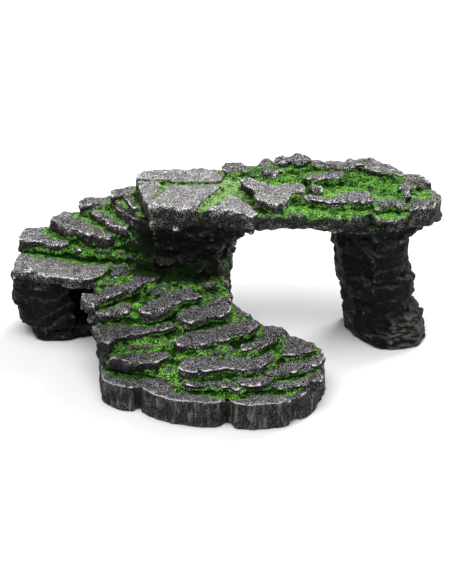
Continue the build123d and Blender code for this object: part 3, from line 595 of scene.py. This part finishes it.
def moss_paint(m, base, moss_fac):
    """Moss green over the stone: pale on crests, with painted shade making it dark green in the recesses."""
    fine = m.noise(0.65, 2.0, 0.55)
    mid = m.noise(2.2, 2.0, 0.55, stretch=(0.75, 1.0, 1.0))
    big = m.noise(9.0, 1.0, 0.5, offset=7.7)
    cav = m.attr("cav")
    shade = m.attr("shade")
    edge = m.attr("edge")
    lush = m.mix(m.ramp(mid, 0.38, 0.62), srgb(34, 86, 14), srgb(70, 136, 34))
    lush = m.mix(m.math("MULTIPLY", m.ramp(big, 0.45, 0.62), 0.50), lush, srgb(100, 152, 56))
    lush = m.mix(m.math("MULTIPLY", m.ramp(fine, 0.50, 0.60), 0.92), lush, srgb(152, 218, 104))
    lush = m.mix(m.math("MULTIPLY", m.attr("brush_and_light"), m.ramp(edge, 0.2, 0.9, 0.0, 0.45)), lush, srgb(176, 206, 146))
    # Lighter, yellower moss: a pale spray on the deck and platform, and painted light higher up the stairs.
    lush = m.mix(m.math("MULTIPLY", m.attr("lime_spray_and_light"), m.ramp(fine, 0.36, 0.60, 0.25, 0.75)), lush, srgb(160, 188, 128))
    # Painted shade: the moss darkens towards dark green in hollows and wide recesses; the noise terms add random
    # darker mottles.
    painted_shade_and_mottle = m.math("ADD", m.math("MULTIPLY", cav, 0.60), m.math("MULTIPLY", shade, 0.45))
    painted_shade_and_mottle = m.math("ADD", painted_shade_and_mottle, m.ramp(fine, 0.50, 0.40, 0.0, 0.60))
    painted_shade_and_mottle = m.math("ADD", painted_shade_and_mottle, m.ramp(mid, 0.50, 0.34, 0.0, 0.48))
    painted_shade_and_mottle = m.math("ADD", painted_shade_and_mottle, m.ramp(m.noise(5.0, 2.0, 0.5, offset=21.0), 0.48, 0.36, 0.0, 0.30))
    col = m.mix(m.ramp(painted_shade_and_mottle, 0.12, 1.0), lush, srgb(12, 44, 6))
    # The moss edge breaks up into grains.
    grain = m.noise(0.7, 2.0, 0.6, offset=3.1)
    f = m.math("ADD", moss_fac, m.ramp(grain, 0.35, 0.65, -0.22, 0.22))
    f = m.ramp(f, 0.28, 0.66)
    return m.mix(f, base, col), f


def stone_material(name, dark, mid_c, light, streak=False, rough=0.8, brush=1.0, flank=0.05):
    m = Nodes(name)
    brush_and_light = m.attr("brush_and_light")
    edge = m.attr("edge")
    lip = m.attr("lip")
    cav = m.attr("cav")
    shade = m.attr("shade")
    up = m.attr("up")
    fine = m.noise(0.62, 1.0, 0.5)
    pit = m.voronoi(0.9)
    mid = m.noise(2.6, 2.0, 0.5, offset=1.7)
    big = m.noise(10.0, 2.0, 0.5, offset=5.3)
    # Undercoat: charcoal on the flanks, greyer where it faces up; the greyer tops are partly dry-brush, partly painted
    # light from above.
    col = m.mix(m.math("MULTIPLY", up, m.ramp(mid, 0.30, 0.62, 0.65, 1.0)), dark, mid_c)
    col = m.mix(m.ramp(big, 0.40, 0.62, 0.0, 0.30), col, m.mix(up, dark, srgb(86, 78, 86)))
    # Stones with a low value stay darker: partly less brushing, partly painted shade.
    col = m.mix(m.ramp(brush_and_light, 1.0, 0.5, 0.0, 0.75), col, m.mix(0.35, dark, mid_c))
    # The big top slabs are pale almost all over: partly heavy dry-brushing, partly painted light on the brightest lit
    # tops.
    rub_and_top_light = m.math("MULTIPLY", m.math("MULTIPLY", m.ramp(brush_and_light, 1.0, 1.5), 0.36), up)
    col = m.mix(rub_and_top_light, col, srgb(146, 143, 143))
    # Dark grains left in the pits of the surface.
    grains = m.math("MULTIPLY", m.ramp(fine, 0.51, 0.42), m.ramp(brush_and_light, 1.0, 1.5, 0.90, 0.45))
    col = m.mix(grains, col, dark)
    # Pale grey dry-brushed on the high grains, on tops and above all on lips; the heavier load on tops is partly
    # painted light from above.
    load = m.math("ADD", m.math("MULTIPLY", up, 0.25 * brush), flank)
    side = m.ramp(up, 0.0, 0.45, 0.24, 1.0)
    load = m.math("ADD", load, m.math("MULTIPLY", m.math("MULTIPLY", lip, side), 0.34 * brush))
    load = m.math("MULTIPLY", load, brush_and_light)
    # The brush caught some patches more than others.
    load = m.math("MULTIPLY", load, m.ramp(m.noise(4.0, 3.0, 0.6, offset=9.1), 0.38, 0.62, 0.40, 1.55))
    high = m.math("ADD", m.ramp(fine, 0.52, 0.59, 0.0, 1.25), m.math("MULTIPLY", m.math("MULTIPLY", edge, edge), 0.5))
    f = m.math("MULTIPLY", high, load, clamp=True)
    f2 = m.math("MULTIPLY", m.math("MULTIPLY", m.ramp(edge, 0.30, 0.85), m.ramp(lip, 0.10, 0.55)), m.ramp(fine, 0.34, 0.50))
    # Upright corners took less of the brush than the lips of the tops.
    f2 = m.math("MULTIPLY", f2, side)
    f = m.math("MAXIMUM", f, m.math("MULTIPLY", f2, 0.95 * brush), clamp=True)
    if streak:
        st = m.noise(2.4, 4.0, 0.62, stretch=(1.0, 1.0, 0.22), offset=2.2)
        f = m.math("MAXIMUM", f, m.math("MULTIPLY", m.ramp(st, 0.50, 0.72), m.ramp(up, 0.5, 0.0, 0.0, 0.24)), clamp=True)
    # Sparse bright specks on the highest grains.
    speck = m.ramp(m.noise(0.55, 1.0, 0.5, offset=15.0), 0.62, 0.68, 0.0, 0.60 * brush)
    speck = m.math("MULTIPLY", speck, m.math("ADD", m.math("MULTIPLY", up, 0.75), 0.25))
    f = m.math("MAXIMUM", f, speck, clamp=True)
    col = m.mix(f, col, light)
    # Painted shade: hollows and wide recesses are darkened to near black, dark green where moss lies.
    recess_painted_shade = m.math("ADD", m.math("MULTIPLY", cav, 0.60), m.math("MULTIPLY", shade, 0.45), clamp=True)
    col = m.mix(recess_painted_shade, col, m.mix(m.ramp(m.attr("moss"), 0.0, 0.15), srgb(10, 11, 10), srgb(10, 26, 7)))
    # Painted shade: near black in the inner corner of the stairs, under the deck, and on the low left flank of the
    # ramp.
    col = m.mix(m.math("MULTIPLY", m.attr("painted_blackish_shade"), 0.88), col, srgb(7, 9, 6))
    # A breath of green sprayed on round the moss.
    spray = m.math("MAXIMUM", m.math("MULTIPLY", m.ramp(m.attr("moss"), 0.0, 0.40), 0.70), m.math("MULTIPLY", m.attr("wide"), 0.35))
    col = m.mix(spray, col, m.mix(0.62, col, srgb(46, 92, 26)))
    col, mf = moss_paint(m, col, m.attr("moss"))
    # The same painted shade again, dark green, laid over the moss.
    col = m.mix(m.math("MULTIPLY", m.attr("painted_blackish_shade"), 0.55), col, srgb(9, 22, 6))
    m.put(m.bsdf.inputs["Base Color"], col)
    m.put(m.bsdf.inputs["Roughness"], m.math("ADD", m.math("MULTIPLY", mf, 0.92 - rough), rough))
    m.bsdf.inputs["Specular IOR Level"].default_value = 0.12
    nb = m.bump(m.math("ADD", fine, m.math("MULTIPLY", pit, 0.35)), 0.28, 0.95)
    m.put(m.bsdf.inputs["Normal"], nb)
    return m.mat


def pier_material(name):
    m = Nodes(name)
    edge = m.attr("edge")
    lip = m.attr("lip")
    cav = m.attr("cav")
    fine = m.noise(0.9, 3.0, 0.6)
    mid = m.noise(3.6, 3.0, 0.55, offset=2.0)
    vein = m.noise(2.2, 3.0, 0.6, stretch=(0.45, 0.45, 1.3), offset=4.0)
    col = m.mix(m.ramp(mid, 0.35, 0.65), srgb(4, 4, 4), srgb(12, 13, 12))
    f = m.math("MULTIPLY", edge, m.ramp(fine, 0.42, 0.60))
    f = m.math("MULTIPLY", f, m.math("ADD", m.math("MULTIPLY", lip, 0.30), 0.08))
    f = m.math("ADD", f, m.math("MULTIPLY", m.attr("pale"), m.math("MULTIPLY", m.ramp(vein, 0.44, 0.62), 0.42)), clamp=True)
    col = m.mix(f, col, srgb(190, 190, 180))
    # Ledges that face up are a little greyer: partly dry-brushed grey, partly painted light from above.
    top = m.math("MULTIPLY", m.attr("up"), m.ramp(m.noise(0.8, 2.0, 0.6, offset=8.0), 0.44, 0.58, 0.25, 1.0))
    col = m.mix(m.math("MULTIPLY", top, 0.22), col, srgb(112, 114, 112))
    skin = m.ramp(m.noise(1.1, 3.0, 0.7, offset=12.0), 0.54, 0.66, 0.0, 0.08)
    col = m.mix(skin, col, srgb(120, 122, 120))
    # Fine pale flecks that the brush left on the sharpest crags.
    fleck = m.math("MULTIPLY", m.ramp(m.noise(1.4, 3.0, 0.7, offset=6.1), 0.58, 0.66), m.ramp(edge, 0.15, 0.7, 0.0, 0.50))
    col = m.mix(fleck, col, srgb(150, 152, 146))
    # Painted shade: hollows darkened to near black.
    col = m.mix(m.math("MULTIPLY", cav, 0.7), col, srgb(5, 5, 5))
    col, mf = moss_paint(m, col, m.attr("moss"))
    m.put(m.bsdf.inputs["Base Color"], col)
    m.put(m.bsdf.inputs["Roughness"], m.ramp(mid, 0.3, 0.7, 0.52, 0.70))
    m.bsdf.inputs["Specular IOR Level"].default_value = 0.09
    m.put(m.bsdf.inputs["Normal"], m.bump(m.math("ADD", fine, mid), 0.45, 1.0))
    return m.mat


MATS = {
    "stone": stone_material("painted_stone", srgb(17, 16, 18), srgb(60, 57, 61), srgb(240, 238, 236)),
    "rim": stone_material("rim_stone", srgb(16, 16, 16), srgb(52, 52, 52), srgb(230, 229, 226), brush=0.9, flank=0.12),
    "bed": stone_material("mossy_bed", srgb(17, 19, 16), srgb(50, 52, 47), srgb(200, 202, 190), brush=0.7, flank=0.10),
    "foot": stone_material("streaked_foot", srgb(25, 25, 25), srgb(50, 50, 50), srgb(216, 216, 214), streak=True, brush=0.85),
    "strata": stone_material("layered_edge", srgb(20, 21, 20), srgb(56, 56, 54), srgb(214, 214, 208), brush=0.8, flank=0.20),
    "pier": pier_material("dark_pier"),
}

count = 0
for n in names:
    ob = mesh_piece(n)
    kind = kind_of(n)
    ob.data.materials.append(MATS[kind])
    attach(ob, "root")
    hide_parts(n)
    count += len(ob.data.polygons)
print("PIECES", len(names), "QUADS", count)

# --- Floor, light and camera -------------------------------------------------
me = bpy.data.meshes.new("floor")
S = 6.0
me.from_pydata([(-S, -S, 0), (S, -S, 0), (S, S, 0), (-S, S, 0)], [], [(0, 1, 2, 3)])
floor = bpy.data.objects.new("floor", me)
bpy.context.scene.collection.objects.link(floor)
fm = bpy.data.materials.new("pale_floor")
fm.use_nodes = True
fb = fm.node_tree.nodes["Principled BSDF"]
fb.inputs["Base Color"].default_value = (0.90, 0.90, 0.90, 1)
fb.inputs["Roughness"].default_value = 0.9
fb.inputs["Specular IOR Level"].default_value = 0.1
floor.data.materials.append(fm)

world = bpy.data.worlds.new("studio")
bpy.context.scene.world = world
world.use_nodes = True
bg = world.node_tree.nodes["Background"]
bg.inputs[0].default_value = (1, 1, 1, 1)
bg.inputs[1].default_value = 0.35


sun = bpy.data.lights.new("overhead_softbox", "SUN")
sun.energy = 2.5
sun.angle = math.radians(60.0)
sun_ob = bpy.data.objects.new("overhead_softbox", sun)
sun_ob.rotation_euler = Vector((0.12, 0.22, -1.0)).to_track_quat("-Z", "Y").to_euler()
bpy.context.scene.collection.objects.link(sun_ob)
back = bpy.data.lights.new("rear_softbox", "SUN")
back.energy = 2.6
back.angle = math.radians(34.0)
back_ob = bpy.data.objects.new("rear_softbox", back)
back_ob.rotation_euler = Vector((-0.62, -0.85, -0.62)).to_track_quat("-Z", "Y").to_euler()
bpy.context.scene.collection.objects.link(back_ob)

cam = bpy.data.cameras.new("camera")
cam.sensor_width = 36.0
cam.lens = 1616.0 * 36.0 / 584.0
cam.clip_start = 0.01
cam_ob = bpy.data.objects.new("camera", cam)
bpy.context.scene.collection.objects.link(cam_ob)
E = math.radians(25.0)
D = 0.800
T = Vector((0.0 - CX / 1000.0, 0.0 - CY / 1000.0, 0.035))
cam_ob.location = T + Vector((0, -D * math.cos(E), D * math.sin(E)))
cam_ob.rotation_euler = (math.radians(90) - E, 0, 0)
bpy.context.scene.camera = cam_ob

bpy.context.scene.view_settings.view_transform = "Standard"
bpy.context.scene.view_settings.look = "None"
